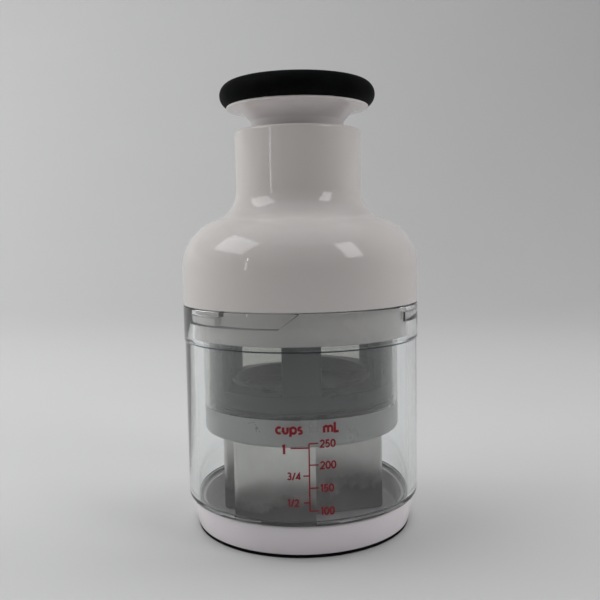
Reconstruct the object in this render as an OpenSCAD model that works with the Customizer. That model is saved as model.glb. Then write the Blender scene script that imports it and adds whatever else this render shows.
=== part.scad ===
// Plunger food chopper, shown with its plunger pressed down.
// +Z is up, the origin is the middle of the face that it stands on, and -Y is the front.

/* [Base] */
// Height of the base's underside above the table
foot_h = 1.3; // [0.8:0.1:2]
// Radial width of the non-slip foot ring
foot_w = 5; // [3:0.5:8]
// Height of the base cap, from its underside to its upper rim
base_h = 11.2; // [9:0.2:16]
// How far the base cap's rim lies inside the cup's outer wall
base_step = 1.3; // [0.8:0.1:1.6]
// How much narrower the base cap is at its underside
base_taper = 2.3; // [0.5:0.1:4]
// Thickness of the base floor
base_floor_t = 2; // [1.6:0.2:3]
// Depth of the base's groove below its rim
groove_depth = 4.5; // [3.5:0.1:6]
// Thickness of the base's wall outside the groove, at the rim
base_wall = 2.2; // [1.6:0.1:2.4]
// Thickness of the base's wall inside the groove
inner_wall = 1.2; // [1:0.1:2]
// Thickness of the flat seal in the groove
seal_t = 1; // [0.6:0.1:1.4]

/* [Cup] */
// Outer diameter of the cup's collar and of the housing
collar_d = 95; // [92:0.5:100]
// Height of the cup above the rim of the base
cup_h = 77.3; // [70:0.5:90]
// Height of the thicker collar at the top of the cup
collar_h = 14; // [13:0.5:16]
// How far the collar stands proud of the cup's wall
collar_step = 0.4; // [0.2:0.1:0.8]
// Wall thickness of the cup at its collar
cup_wall = 3.7; // [3:0.1:4]
// Rounding of the cup's lower outside edge
cup_round_r = 3; // [2:0.5:4]
// Wall thickness of the cup's rim that stands in the base
spigot_wall = 1.2; // [1:0.1:1.5]
// Gap between the cup's lower rim and the groove of the base
spigot_gap = 0.3; // [0.2:0.05:0.4]

/* [Bayonet] */
// Number of bayonet lugs
lug_count = 3; // [2:1:3]
// Width of a lug, as an angle
lug_angle = 20; // [12:1:24]
// Azimuth of the middle of the first lug
lug_azimuth = -52.5; // [-56:0.5:-50]
// Height of a lug
lug_h = 3; // [2.4:0.2:4]
// How far a lug stands out of the skirt
lug_out = 2.6; // [2:0.1:2.8]
// Depth of the lug's top below the rim of the cup
lug_drop = 2.6; // [2:0.1:4]
// Angle that the housing turns to bring its lugs under the openings
unlock_angle = 32; // [26:1:34]
// Width of an opening at the floor of its channel
mouth_w = 22.8; // [20:0.2:24]
// Width of the sloping end of an opening, at the rim of the cup
mouth_slope_w = 8.2; // [2:0.2:10]
// Clearance round a lug in its channel
lug_gap = 0.4; // [0.3:0.05:0.6]

/* [Housing] */
// Wall thickness of the housing
shell_wall = 2.5; // [2:0.1:3]
// Height of the neck's top above the middle of the shoulder curve
neck_h = 53.8; // [48:0.2:60]
// Radius of the shoulder curve
shoulder_r = 20; // [17:0.5:21]
// Radius of the hollow curve between shoulder and neck
throat_r = 12; // [8:0.5:14]
// How far the raised drive plate reaches into the shoulder curve
shoulder_reach = 11.5; // [8:0.5:12]
// Rounding of the neck's top edge
neck_edge_r = 1.5; // [0.5:0.1:2]
// Depth of the white skirt inside the collar
skirt_h = 12.3; // [11:0.1:14]
// Wall thickness of the skirt
skirt_wall = 2; // [1.6:0.1:2.2]
// Gap between skirt and cup
skirt_gap = 0.5; // [0.4:0.05:0.7]
// Height of the guide bush in the neck
bush_h = 9; // [6:0.5:12]
// Wall thickness of the guide bush
bush_wall = 4.1; // [3.4:0.1:5]

/* [Plunger] */
// Travel of the plunger
stroke = 34; // [28:0.5:36]
// Radius of the plunger stem
stem_r = 18.6; // [17:0.1:19]
// Wall thickness of the stem
stem_wall = 2.4; // [2:0.1:3]
// Gap between the neck and the knob when pressed
knob_gap = 9.5; // [8:0.1:14]
// Radius of the hollow curve of the flare under the knob
flare_r = 10.2; // [9.6:0.1:11]
// Thickness of the flare's rim
flare_rim_t = 0.8; // [0.6:0.1:2]
// Largest radius of the grip
knob_r = 31; // [30:0.1:34]
// Rounding of the grip's edge
knob_edge_r = 5; // [4.6:0.1:6]
// Height of the grip's widest point above the flare
knob_bulge_h = 4.4; // [3:0.1:4.5]
// Rise of the grip's domed top
knob_dome_h = 0.8; // [0.4:0.1:2]
// How far the stem's flange on the drive plate stands out of the stem
flange_w = 5.4; // [4.8:0.1:6]
// Thickness of the stem's flange
flange_t = 2.5; // [2:0.1:3]

/* [Spring] */
// Wire diameter of the return spring
wire_d = 2; // [1.4:0.1:2.2]
// Mean radius of the return spring
spring_r = 12.5; // [10:0.1:13]
// Number of curls of the return spring
spring_turns = 9; // [6:1:10]
// Thickness of the spring's fixed seat
seat_t = 4; // [3:0.1:5]
// Width of an arm of the seat
seat_arm_w = 6.4; // [4:0.1:8]

/* [Indexing] */
// Number of teeth of the index crowns
tooth_count = 12; // [8:1:16]
// Height of a tooth
tooth_h = 2.8; // [2:0.1:3]
// Inner radius of the teeth
tooth_in_r = 8.5; // [8:0.1:9]
// Outer radius of the teeth
tooth_out_r = 13; // [12:0.1:14]
// Thickness of the crown behind its teeth
crown_t = 1.2; // [1:0.1:1.6]
// Gap between the crowns at the top of the stroke
crown_gap = 0.5; // [0.4:0.1:1]

/* [Cage] */
// Height of the open windows between skirt and cage ring
window_h = 18.9; // [14:0.1:24]
// Height of the cage ring
ring_h = 7.6; // [6:0.1:10]
// Radial width of the cage ring, down to the bearing for the rotor
ring_w = 11; // [9:0.1:13]
// Depth of the rotor's face below the cage ring
rotor_sink = 3.6; // [2:0.1:4]
// Rounding of the cage ring's lower edge
ring_round_r = 4; // [2:0.5:5]
// Height of the rib round the bearing
rib_h = 1.2; // [0.6:0.1:2]
// Number of legs
leg_count = 6; // [4:1:6]
// Width of a leg
leg_w = 14; // [10:0.5:16]
// Thickness of a leg
leg_t = 5; // [4.4:0.1:6]
// Thickness of the drive plate
plate_t = 3; // [2.4:0.1:4]
// Gap between the lower edge of the skirt and the drive plate
plate_rise = 1.5; // [1:0.1:3]

/* [Blades and guard] */
// Thickness of the guard sleeve
sleeve_wall = 1.4; // [1.2:0.1:1.5]
// How far the sleeve's upper rim stands out of it, to hook on the skirt
hook_w = 1.4; // [1:0.1:1.8]
// Depth of the guard sleeve below the skirt
sleeve_drop = 37.5; // [36:0.1:42]
// Gap between cage ring and sleeve
sleeve_gap = 0.4; // [0.3:0.05:0.6]
// Radial width of the sleeve's floor, which carries the stripper disc
sleeve_floor_w = 2.6; // [2:0.1:3]
// Thickness of the stripper disc's flange and of the sleeve's floor
stripper_t = 1.8; // [1.4:0.1:2.4]
// Depth of the lip round the slot, below the sleeve
lip_h = 2; // [1:0.1:4]
// Thickness of the blade strip
blade_t = 0.6; // [0.4:0.05:0.8]
// Gap between the blade's edge and the floor
blade_gap = 0.5; // [0.4:0.1:1]
// Clearance between blade and stripper slot
slot_gap = 0.35; // [0.3:0.05:0.5]
// Mean radius of the blade's folds
fold_r = 1.7; // [1.4:0.1:2]
// Distance of the lip round the slot from the stripper disc's edge
lip_margin = 0.8; // [0.6:0.1:3]
// Distance of the strip's ends from the middle, along the zigzag's runs
strip_end_x = 1.2; // [0:0.2:10]
// Turn of the blades about Z at rest
blade_azimuth = 8; // [-10:1:10]
// Thickness of the rotor's flange that holds the blades
rotor_flange_t = 3.8; // [3:0.1:5]
// Radius of the rotor shaft
shaft_r = 6; // [5:0.1:6.5]

/* [Screws] */
// Radius of the screws' shanks
screw_r = 1; // [0.8:0.05:1.1]
// Radius of the screws' heads
screw_head_r = 1.9; // [1.6:0.05:2]
// Height of the screws' heads
screw_head_h = 1.2; // [1:0.1:1.6]

/* [Hidden] */
$fn = 96;

through = 1;  // how far a cut runs past the face that it opens
fit = 0.1;    // clearance of a running fit
loose = 0.3;  // gap between pieces that pass each other

// Radii of the cup and of what stands in it
collar_r = collar_d / 2;
cup_r = collar_r - collar_step;
base_rim_r = cup_r - base_step;
cup_in_r = collar_r - cup_wall;
skirt_r = cup_in_r - skirt_gap;
skirt_in_r = skirt_r - skirt_wall;
lug_r = skirt_r + lug_out;
channel_r = lug_r + loose;
spigot_r = base_rim_r - base_wall - spigot_gap;
spigot_in_r = spigot_r - spigot_wall;
groove_r = spigot_r + spigot_gap;
groove_in_r = spigot_in_r - spigot_gap;
floor_r = groove_in_r - inner_wall;
foot_dent = base_floor_t / 3;
foot_r = base_rim_r - base_taper - loose;

// Radii of guard, cage and blades
sleeve_r = skirt_in_r - fit - hook_w;
sleeve_in_r = sleeve_r - sleeve_wall;
stripper_r = sleeve_in_r - sleeve_floor_w;
ring_r = sleeve_in_r - sleeve_gap;
bearing_r = ring_r - ring_w;
rotor_r = bearing_r - fit;
leg_r = ring_r - loose;
leg_screw_r = leg_r - leg_t / 2;
lip_w = 2 * fold_r;
fold_reach = stripper_r - loose - lip_margin - lip_w;

// Heights of the standing parts
floor_z = foot_h + base_floor_t;
base_rim_z = foot_h + base_h;
groove_z = base_rim_z - groove_depth;
rim_z = base_rim_z + cup_h;
collar_z = rim_z - collar_h;
skirt_z = rim_z - skirt_h;
skirt_lip_t = skirt_wall;
skirt_flange_t = skirt_wall;
lug_top_z = rim_z - lug_drop;
lug_z = lug_top_z - lug_h;

// Heights of what the plunger moves, pressed down
ring_top_z = skirt_z - window_h;
ring_z = ring_top_z - ring_h;
plate_z = skirt_z + plate_rise;
plate_top_z = plate_z + plate_t;
flange_top_z = plate_top_z + flange_t;
crown_z = plate_top_z + loose;
crown_top_z = crown_z + crown_t;
tooth_tip_z = crown_top_z + tooth_h;
rotor_top_z = ring_top_z - rotor_sink;
rotor_flange_top_z = ring_z - loose;
rotor_flange_z = rotor_flange_top_z - rotor_flange_t;
shaft_z = rotor_top_z - rotor_sink;
blade_root_z = rotor_flange_top_z - rotor_flange_t / 3;
blade_tip_z = floor_z + blade_gap;

// Heights inside the housing
fixed_tip_z = tooth_tip_z + stroke + crown_gap;
fixed_root_z = fixed_tip_z + tooth_h;
seat_z = fixed_root_z + crown_t;
seat_top_z = seat_z + seat_t;
seat_rib_t = seat_t / 2 + screw_head_h;
shoulder_z = plate_top_z + stroke - shoulder_reach;
neck_top_z = shoulder_z + neck_h;
knob_z = neck_top_z + knob_gap;
bush_z = neck_top_z - bush_h;
spring_top_z = knob_z - flange_t;

// Radii inside the housing
shell_r = collar_r;
neck_in_r = stem_r + fit + bush_wall;
neck_r = neck_in_r + shell_wall;
stem_in_r = stem_r - stem_wall;
flange_r = stem_r + flange_w;
seat_hub_r = stem_in_r - loose;
seat_ring_in_r = stem_r + 2 * loose;
seat_ring_r = neck_in_r - fit;
seat_screw_r = (seat_ring_in_r + seat_ring_r) / 2;
flange_screw_r = (stem_r + flange_r) / 2;
screw_hole_r = screw_r + fit / 2;
pin_r = shaft_r / 2;

// Heights of the guard
sleeve_z = skirt_z - sleeve_drop;
sleeve_hook_z = skirt_z + skirt_lip_t;
stripper_z = sleeve_z + stripper_t + fit;
stripper_top_z = stripper_z + stripper_t;
clip_z = stripper_top_z + loose;
clip_groove = sleeve_wall / 3;

// The grip's edge is a circle, cut off where it meets the flare
edge_mid_r = knob_r - knob_edge_r;
knob_low_r = edge_mid_r + sqrt(pow(knob_edge_r, 2) - pow(knob_bulge_h, 2));
knob_edge_z = knob_z + knob_bulge_h;
dome_r = (pow(edge_mid_r, 2) + pow(knob_dome_h, 2)) / (2 * knob_dome_h);
core_r = edge_mid_r;
core_top_z = knob_edge_z;
core_gap = fit;

// The strip winds round these pegs in turn, now to the left and now to the right
last_peg = 5;
fold_pitch = 2 * fold_reach / (last_peg + 1);
function peg_y(i) = (i - last_peg / 2) * fold_pitch;
function peg_x(i) = peg_r(i) > 0 ? sqrt(pow(fold_reach, 2) - pow(peg_y(i), 2)) : strip_end_x;
pegs = [for (i = [0:last_peg]) [peg_x(i) * peg_side(i), peg_y(i)]];
fold_steps = 8;

function polar(r, a) = [r * cos(a), r * sin(a)];
function reversed(list) = [for (i = [len(list) - 1:-1:0]) list[i]];
function peg_r(i) = i == 0 || i == last_peg ? 0 : fold_r;
function peg_side(i) = i % 2 == 0 ? 1 : -1;
function heading(i) = atan2(pegs[i + 1].y - pegs[i].y, pegs[i + 1].x - pegs[i].x);
// Direction from peg i to the point where the next run leaves it
function touch(i) = heading(i)
    - peg_side(i) * acos((peg_r(i) + peg_r(i + 1)) / norm(pegs[i + 1] - pegs[i]));
function course(i) = touch(i) + 90 * peg_side(i);
// Angle that the strip turns through round peg i, on the peg's outer side
function wrap(turn, side) = side * turn < 0 ? turn + side * 360 : turn;
function sweep(i) = wrap((touch(i) - touch(i - 1) - 180) % 360, peg_side(i));
function fold_points(i, shift) = [for (k = [0:fold_steps])
    pegs[i] + polar(fold_r - peg_side(i) * shift, touch(i - 1) + 180 + sweep(i) * k / fold_steps)];
// Points along one face of the strip, shifted to the left of its course
function face_points(shift, ends) = concat(
    [pegs[0] - polar(shift, touch(0)) - polar(ends, course(0))],
    [for (i = [1:last_peg - 1]) each fold_points(i, shift)],
    [pegs[last_peg] - polar(shift, touch(last_peg - 1)) + polar(ends, course(last_peg - 1))]);

// The coil runs up round the Z axis
coil_rings = 8;
coil_sides = 6;
coil_z = seat_top_z + wire_d / 2;
coil_rise = spring_top_z - seat_top_z - wire_d;
coil_last = spring_turns * coil_rings;
function coil_point(k, r, rise) = let (a = 360 * k / coil_rings, up = coil_rise * k / coil_last)
    [(spring_r + r) * cos(a), (spring_r + r) * sin(a), coil_z + up + rise];
coil_points = [for (k = [0:coil_last], s = [0:coil_sides - 1])
    coil_point(k, wire_d / 2 * cos(60 * s), wire_d / 2 * sin(60 * s))];
coil_faces = concat(
    [for (k = [0:coil_last - 1], s = [0:coil_sides - 1])
        let (a = k * coil_sides, t = (s + 1) % coil_sides, b = a + coil_sides)
        each [[a + s, b + t, b + s], [a + s, a + t, b + t]]],
    [[for (s = [coil_sides - 1:-1:0]) s]],
    [[for (s = [0:coil_sides - 1]) coil_last * coil_sides + s]]);
coil_path = [for (k = [0:coil_last]) coil_point(k, 0, 0)];
coil_gap = min([for (i = [0:coil_last], j = [i + coil_rings - 2:coil_last])
    norm(coil_path[j] - coil_path[i])]) - wire_d;
echo("least gap between the curls of the return spring", coil_gap);

module tube(r_out, r_in, z0, z1) {
    translate([0, 0, z0])
        difference() {
            cylinder(r = r_out, h = z1 - z0);
            translate([0, 0, -through])
                cylinder(r = r_in, h = z1 - z0 + 2 * through);
        }
}

module disc(r, z0, z1) {
    translate([0, 0, z0])
        cylinder(r = r, h = z1 - z0);
}

module hole(x, r, z0, z1) {
    translate([x, 0, z0 - through])
        cylinder(r = r, h = z1 - z0 + 2 * through);
}

module around(count, start = 0) {
    for (i = [0:count - 1])
        rotate(start + i * 360 / count)
            children();
}

// Half section between two radii and two heights
module band(r0, r1, z0, z1) {
    translate([r0, z0])
        square([r1 - r0, z1 - z0]);
}

// Screw on the X axis at radius x, its head's seat at z, pointing down
module screw(x, z, length) {
    translate([x, 0, z])
        cylinder(r = screw_head_r, h = screw_head_h);
    translate([x, 0, z - length])
        cylinder(r = screw_r, h = length + screw_head_h / 2);
}

// Plan of the zigzag strip, widened by spread on both faces
module zigzag(spread = 0, ends = 0) {
    half = blade_t / 2 + spread;
    rotate(blade_azimuth)
        polygon(concat(face_points(half, ends), reversed(face_points(-half, ends))));
}

// Plan of a band along the runs of the zigzag, with round ends
module zigzag_band(half) {
    rotate(blade_azimuth) {
        for (p = pegs)
            translate(p)
                circle(r = half);
        for (i = [0:last_peg - 1])
            translate(pegs[i])
                rotate(heading(i))
                    translate([0, -half])
                        square([norm(pegs[i + 1] - pegs[i]), 2 * half]);
    }
}

// Half section of the housing: body, shoulder, throat and neck
module bell_section(r, neck, shoulder, throat, z0, z1) {
    mid_r = r - shoulder;
    throat_x = neck + throat;
    throat_z = shoulder_z + sqrt(pow(shoulder + throat, 2) - pow(throat_x - mid_r, 2));
    band(0, r, z0, shoulder_z);
    band(0, neck, z0, z1);
    band(0, mid_r, z0, shoulder_z + shoulder);
    intersection() {
        translate([mid_r, shoulder_z])
            circle(r = shoulder);
        band(mid_r, r, shoulder_z, shoulder_z + shoulder);
    }
    difference() {
        polygon([[0, shoulder_z], [mid_r, shoulder_z], [throat_x, throat_z], [0, throat_z]]);
        translate([throat_x, throat_z])
            circle(r = throat);
    }
}

module base_cap() {
    color("whitesmoke")
        rotate_extrude()
            difference() {
                polygon([[0, foot_h], [base_rim_r - base_taper, foot_h],
                         [base_rim_r, base_rim_z], [0, base_rim_z]]);
                band(0, floor_r, floor_z, rim_z);
                band(groove_in_r, groove_r, groove_z, rim_z);
                band(foot_r - foot_w, foot_r, 0, foot_h + foot_dent);
            }
}

module base_foot_ring() {
    color("black")
        tube(foot_r, foot_r - foot_w, 0, foot_h + foot_dent);
}

module base_seal() {
    color("gainsboro")
        tube(spigot_r, spigot_in_r, groove_z, groove_z + seal_t);
}

module clear_cup() {
    color("lightblue", 0.3)
        difference() {
            rotate_extrude()
                difference() {
                    union() {
                        band(spigot_in_r, spigot_r, groove_z + seal_t, rim_z);
                        band(spigot_in_r, cup_r - cup_round_r, base_rim_z, rim_z);
                        band(spigot_in_r, cup_r, base_rim_z + cup_round_r, rim_z);
                        band(spigot_in_r, collar_r, collar_z, rim_z);
                        translate([cup_r - cup_round_r, base_rim_z + cup_round_r])
                            circle(r = cup_round_r);
                    }
                    band(0, cup_in_r, base_rim_z + cup_round_r / 2, rim_z + through);
                }
            around(lug_count, lug_azimuth - 90)
                bayonet_channel();
        }
}

// Recess in the collar for one lug, whose middle lies on the X axis
module bayonet_channel() {
    play = asin(lug_gap / skirt_r);
    start = -lug_angle / 2 - play;
    end = -start + unlock_angle;
    floor_of_channel = lug_z - lug_gap;
    reach = 2 * collar_r;
    low = floor_of_channel - through;
    high = rim_z + 2 * through;
    slope = mouth_slope_w / (rim_z - floor_of_channel);
    intersection() {
        tube(channel_r, cup_in_r - through, floor_of_channel, rim_z + through);
        union() {
            translate([0, 0, low])
                linear_extrude(lug_top_z + lug_gap - low)
                    polygon([[0, 0], polar(reach, start), polar(reach, end - play)]);
            rotate([90, 0, end + 90])
                linear_extrude(reach)
                    polygon([[-mouth_w, low], [-slope * through, low],
                             [mouth_slope_w + slope * 2 * through, high], [-mouth_w, high]]);
        }
    }
}

module skirt_ring() {
    color("whitesmoke") {
        rotate_extrude() {
            band(skirt_in_r, skirt_r, skirt_z, rim_z + skirt_flange_t);
            band(sleeve_r + loose, skirt_r, skirt_z, skirt_z + skirt_lip_t);
            band(skirt_in_r, shell_r - shell_wall + fit, rim_z + loose, rim_z + skirt_flange_t);
        }
        around(lug_count, lug_azimuth - lug_angle / 2 - 90)
            rotate_extrude(angle = lug_angle)
                band(skirt_in_r + skirt_wall / 2, lug_r, lug_z, lug_top_z);
    }
}

module housing_shell() {
    seat_rib_z = seat_top_z;
    color("whitesmoke")
        difference() {
            rotate_extrude()
                difference() {
                    bell_section(shell_r, neck_r, shoulder_r, throat_r,
                                 rim_z + loose, neck_top_z - neck_edge_r);
                    difference() {
                        bell_section(shell_r - shell_wall, neck_in_r, shoulder_r - shell_wall,
                                     throat_r + shell_wall, 0, neck_top_z + through);
                        band(seat_ring_in_r, shell_r, seat_rib_z, seat_rib_z + seat_rib_t);
                    }
                    band(0, shell_r - shell_wall + 2 * fit, 0, rim_z + skirt_flange_t);
                }
            around(lug_count)
                hole(seat_screw_r, screw_hole_r, seat_rib_z, seat_rib_z + seat_rib_t);
        }
    color("whitesmoke")
        rotate_extrude()
            difference() {
                union() {
                    band(neck_in_r, neck_r - neck_edge_r, bush_z, neck_top_z);
                    translate([neck_r - neck_edge_r, neck_top_z - neck_edge_r])
                        circle(r = neck_edge_r);
                }
                band(0, neck_in_r, 0, knob_z);
            }
}

module neck_bush() {
    color("lightgrey")
        tube(neck_in_r, stem_r + fit, bush_z, neck_top_z - neck_edge_r);
}

module spring_seat() {
    color("dimgrey")
        difference() {
            union() {
                tube(seat_ring_r, seat_ring_in_r, seat_z, seat_top_z);
                disc(seat_hub_r, seat_z, seat_top_z);
                around(lug_count)
                    translate([0, -seat_arm_w / 2, seat_z])
                        cube([seat_screw_r, seat_arm_w, seat_t]);
            }
            around(lug_count)
                hole(seat_screw_r, screw_hole_r, seat_z, seat_top_z);
        }
}

module seat_screws() {
    color("silver")
        around(lug_count)
            translate([0, 0, seat_z])
                mirror([0, 0, 1])
                    screw(seat_screw_r, 0, seat_t + seat_rib_t - loose);
}

// Ring of sloping teeth that point up from z
module crown_teeth(z) {
    width = 2 * tooth_in_r * sin(180 / tooth_count);
    around(tooth_count)
        translate([0, 0, z])
            rotate([90, 0, 90])
                translate([-width / 2, 0, tooth_in_r])
                    linear_extrude(tooth_out_r - tooth_in_r)
                        polygon([[0, -crown_t / 2], [width, -crown_t / 2], [width, 0], [0, tooth_h]]);
}

module index_crown() {
    color("white")
        translate([0, 0, fixed_root_z])
            mirror([0, 0, 1]) {
                tube(tooth_out_r + loose, pin_r, -crown_t, 0);
                crown_teeth(0);
            }
}

module guard_sleeve() {
    color("lightsteelblue", 0.5)
        rotate_extrude()
            difference() {
                union() {
                    band(stripper_r, sleeve_r - sleeve_wall, sleeve_z, sleeve_z + stripper_t);
                    band(stripper_r, sleeve_r, sleeve_z + sleeve_wall, sleeve_hook_z + sleeve_wall);
                    translate([sleeve_r - sleeve_wall, sleeve_z + sleeve_wall])
                        circle(r = sleeve_wall);
                    band(sleeve_in_r, sleeve_r + hook_w, sleeve_hook_z, sleeve_hook_z + sleeve_wall);
                }
                band(0, sleeve_in_r, sleeve_z + stripper_t, plate_top_z);
                band(0, sleeve_in_r + clip_groove, clip_z, clip_z + stripper_t);
            }
}

module stripper_clip() {
    color("lightsteelblue")
        tube(sleeve_in_r + clip_groove - fit, stripper_r, clip_z + fit, clip_z + stripper_t - fit);
}

module stripper_disc() {
    color("lightsteelblue", 0.5)
        difference() {
            union() {
                disc(stripper_r - loose, sleeve_z, stripper_top_z);
                disc(sleeve_in_r - loose, stripper_z, stripper_top_z);
                translate([0, 0, sleeve_z - lip_h])
                    linear_extrude(lip_h + stripper_t)
                        zigzag_band(lip_w);
            }
            translate([0, 0, sleeve_z - lip_h - through])
                linear_extrude(sleeve_drop)
                    zigzag(slot_gap, slot_gap);
        }
}

module plunger_tube() {
    lip_x = knob_low_r - flare_rim_t;
    flare_z = knob_z - flare_rim_t - flare_r;
    color("white")
        difference() {
            rotate_extrude() {
                band(stem_in_r, stem_r, plate_top_z, knob_z);
                band(stem_in_r, flange_r, plate_top_z, flange_top_z);
                difference() {
                    band(stem_in_r, knob_low_r, flare_z, knob_z);
                    translate([lip_x, flare_z])
                        circle(r = flare_r);
                    band(lip_x, knob_r, flare_z, knob_z - flare_rim_t);
                }
            }
            around(lug_count) {
                translate([0, -seat_arm_w / 2 - loose, seat_z - stroke - 2 * loose])
                    cube([stem_r + through, seat_arm_w + 2 * loose, seat_t + stroke + 4 * loose]);
                rotate(180 / lug_count)
                    hole(flange_screw_r, screw_hole_r, plate_top_z, flange_top_z);
            }
        }
}

module knob_core() {
    color("dimgrey") {
        disc(core_r, knob_z, core_top_z);
        disc(stem_in_r - core_gap, spring_top_z, knob_z + core_gap);
    }
}

module knob_grip() {
    color("#202224")
        rotate_extrude()
            difference() {
                union() {
                    intersection() {
                        translate([edge_mid_r, knob_edge_z])
                            circle(r = knob_edge_r);
                        band(0, knob_r, knob_z, knob_edge_z + knob_edge_r);
                    }
                    band(0, edge_mid_r, knob_z, knob_edge_z + knob_edge_r);
                    intersection() {
                        translate([0, knob_edge_z + knob_edge_r + knob_dome_h - dome_r])
                            circle(r = dome_r, $fn = 20 * $fn);
                        band(0, edge_mid_r, knob_edge_z, knob_z + 2 * knob_r);
                    }
                }
                band(0, core_r + core_gap, 0, core_top_z + core_gap);
            }
}

module return_spring() {
    color("silver")
        polyhedron(coil_points, coil_faces, convexity = 10);
}

module drive_plate() {
    color("#3c444c")
        difference() {
            disc(leg_r, plate_z, plate_top_z);
            hole(0, shaft_r + fit, plate_z, plate_top_z);
            around(lug_count, 180 / lug_count)
                hole(flange_screw_r, screw_hole_r, plate_z, plate_top_z);
            around(leg_count, -90)
                hole(leg_screw_r, screw_hole_r, plate_z, plate_top_z);
        }
}

module flange_screws() {
    color("silver")
        around(lug_count, 180 / lug_count)
            screw(flange_screw_r, flange_top_z, flange_t + plate_t);
}

module blade_frame() {
    leg_hole = 2 * leg_t;
    color("#3c444c")
        difference() {
            union() {
                rotate_extrude() {
                    band(bearing_r, ring_r, ring_z + ring_round_r, ring_top_z);
                    band(bearing_r, ring_r - ring_round_r, ring_z, ring_top_z);
                    band(bearing_r, bearing_r + rib_h, ring_z, ring_top_z + rib_h);
                    translate([ring_r - ring_round_r, ring_z + ring_round_r])
                        intersection() {
                            circle(r = ring_round_r);
                            translate([0, -ring_round_r])
                                square(ring_round_r);
                        }
                }
                intersection() {
                    tube(leg_r, leg_r - leg_t, ring_top_z - rib_h, plate_z);
                    around(leg_count, -90)
                        translate([0, -leg_w / 2, ring_z])
                            cube([ring_r, leg_w, plate_z - ring_z]);
                }
            }
            around(leg_count, -90)
                hole(leg_screw_r, screw_hole_r, plate_z - leg_hole, plate_z);
        }
}

module leg_screws() {
    color("silver")
        around(leg_count, -90)
            screw(leg_screw_r, plate_top_z, plate_t + leg_t);
}

module rotor_disc() {
    color("gainsboro")
        difference() {
            union() {
                disc(stripper_r, rotor_flange_z, rotor_flange_top_z);
                disc(rotor_r, rotor_flange_z, rotor_top_z);
            }
            hole(0, shaft_r + fit, shaft_z + through, rotor_top_z);
            translate([0, 0, rotor_flange_z - through])
                linear_extrude(blade_root_z - rotor_flange_z + through)
                    zigzag(fit / 2, fit / 2);
        }
}

module rotor_shaft() {
    color("gainsboro")
        difference() {
            union() {
                disc(shaft_r, shaft_z, crown_z);
                disc(pin_r, shaft_z, crown_top_z);
            }
            hole(0, screw_hole_r, plate_z + through, crown_top_z);
        }
}

module rotor_crown() {
    color("white") {
        tube(tooth_out_r + loose, pin_r + fit / 2, crown_z, crown_top_z);
        crown_teeth(crown_top_z);
    }
}

module crown_screw() {
    color("silver") {
        disc(pin_r + screw_r, crown_top_z, crown_top_z + screw_head_h);
        disc(screw_r, plate_z + loose, crown_top_z + screw_head_h / 2);
    }
}

module blade_strip() {
    ground_h = 2 * blade_t;
    color("lightgrey") {
        translate([0, 0, blade_tip_z + ground_h])
            linear_extrude(blade_root_z - blade_tip_z - ground_h)
                zigzag();
        translate([0, 0, blade_tip_z])
            linear_extrude(ground_h + blade_t)
                zigzag(-blade_t / 4);
    }
}

base_cap();
base_foot_ring();
base_seal();
clear_cup();
skirt_ring();
housing_shell();
neck_bush();
spring_seat();
seat_screws();
index_crown();
guard_sleeve();
stripper_clip();
stripper_disc();
plunger_tube();
knob_core();
knob_grip();
return_spring();
drive_plate();
flange_screws();
blade_frame();
leg_screws();
rotor_disc();
rotor_shaft();
rotor_crown();
crown_screw();
blade_strip();
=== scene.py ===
"""Plunger food chopper with its plunger pressed down, dressed for rendering.

Sizes are in millimetres and turned into metres by MM. +Z is up, -Y is the front.
Sizes that a CAD node shows are read from it, and all others are named here.
"""
import math

import bmesh
import bpy
from mathutils import Matrix, Vector


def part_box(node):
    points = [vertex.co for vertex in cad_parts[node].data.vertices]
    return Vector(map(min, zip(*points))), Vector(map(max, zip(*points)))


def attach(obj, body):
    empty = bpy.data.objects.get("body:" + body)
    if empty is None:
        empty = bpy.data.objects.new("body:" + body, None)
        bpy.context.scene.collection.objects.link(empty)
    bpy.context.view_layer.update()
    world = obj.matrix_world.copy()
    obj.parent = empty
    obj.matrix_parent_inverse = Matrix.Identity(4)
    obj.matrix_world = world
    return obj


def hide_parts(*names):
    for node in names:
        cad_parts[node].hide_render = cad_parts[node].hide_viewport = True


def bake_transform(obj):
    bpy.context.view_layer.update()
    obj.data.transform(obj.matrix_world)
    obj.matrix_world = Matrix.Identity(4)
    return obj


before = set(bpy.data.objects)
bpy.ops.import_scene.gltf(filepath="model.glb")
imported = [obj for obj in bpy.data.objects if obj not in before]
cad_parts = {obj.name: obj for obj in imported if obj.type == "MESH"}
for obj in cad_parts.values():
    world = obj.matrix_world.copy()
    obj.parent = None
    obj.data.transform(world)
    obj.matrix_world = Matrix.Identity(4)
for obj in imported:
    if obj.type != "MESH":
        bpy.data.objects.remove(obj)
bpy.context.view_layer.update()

MM = 0.001


def low(node, axis=2):
    """Lowest coordinate of a CAD node, in millimetres."""
    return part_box(node)[0][axis] / MM


def high(node, axis=2):
    """Highest coordinate of a CAD node, in millimetres."""
    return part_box(node)[1][axis] / MM


def radius(node):
    """Largest radius of a round CAD node, in millimetres."""
    return high(node, 1)


# ---------------------------------------------------------------- sizes
EDGE = 0.35             # small rounding of moulded edges
TURN_STEPS = 192        # steps of a full turn
WIDE_STEPS = 240        # the same for the cup and the base
BELL_STEPS = 256        # the same for the glossy housing
FINE = 0.02             # a hair's gap that keeps faces from lying in one plane
THREE_TURNS = (0, 120, 240)

# Base
base_taper = 2.3
base_floor_t = 2
base_wall = 2.2
seal_w = 1.5
groove_wall = 1.2
foot_w = 5
foot_z = low("base_cap")
foot_r = radius("base_foot_ring")
foot_top_z = high("base_foot_ring")
base_rim_z = high("base_cap")
base_rim_r = radius("base_cap")
base_low_r = base_rim_r - base_taper
base_floor_z = foot_z + base_floor_t
foot_out_r = base_low_r - 0.1
groove_out_r = base_rim_r - base_wall
groove_in_r = radius("base_seal") - seal_w
groove_z = low("base_seal")
floor_r = groove_in_r - groove_wall

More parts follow.
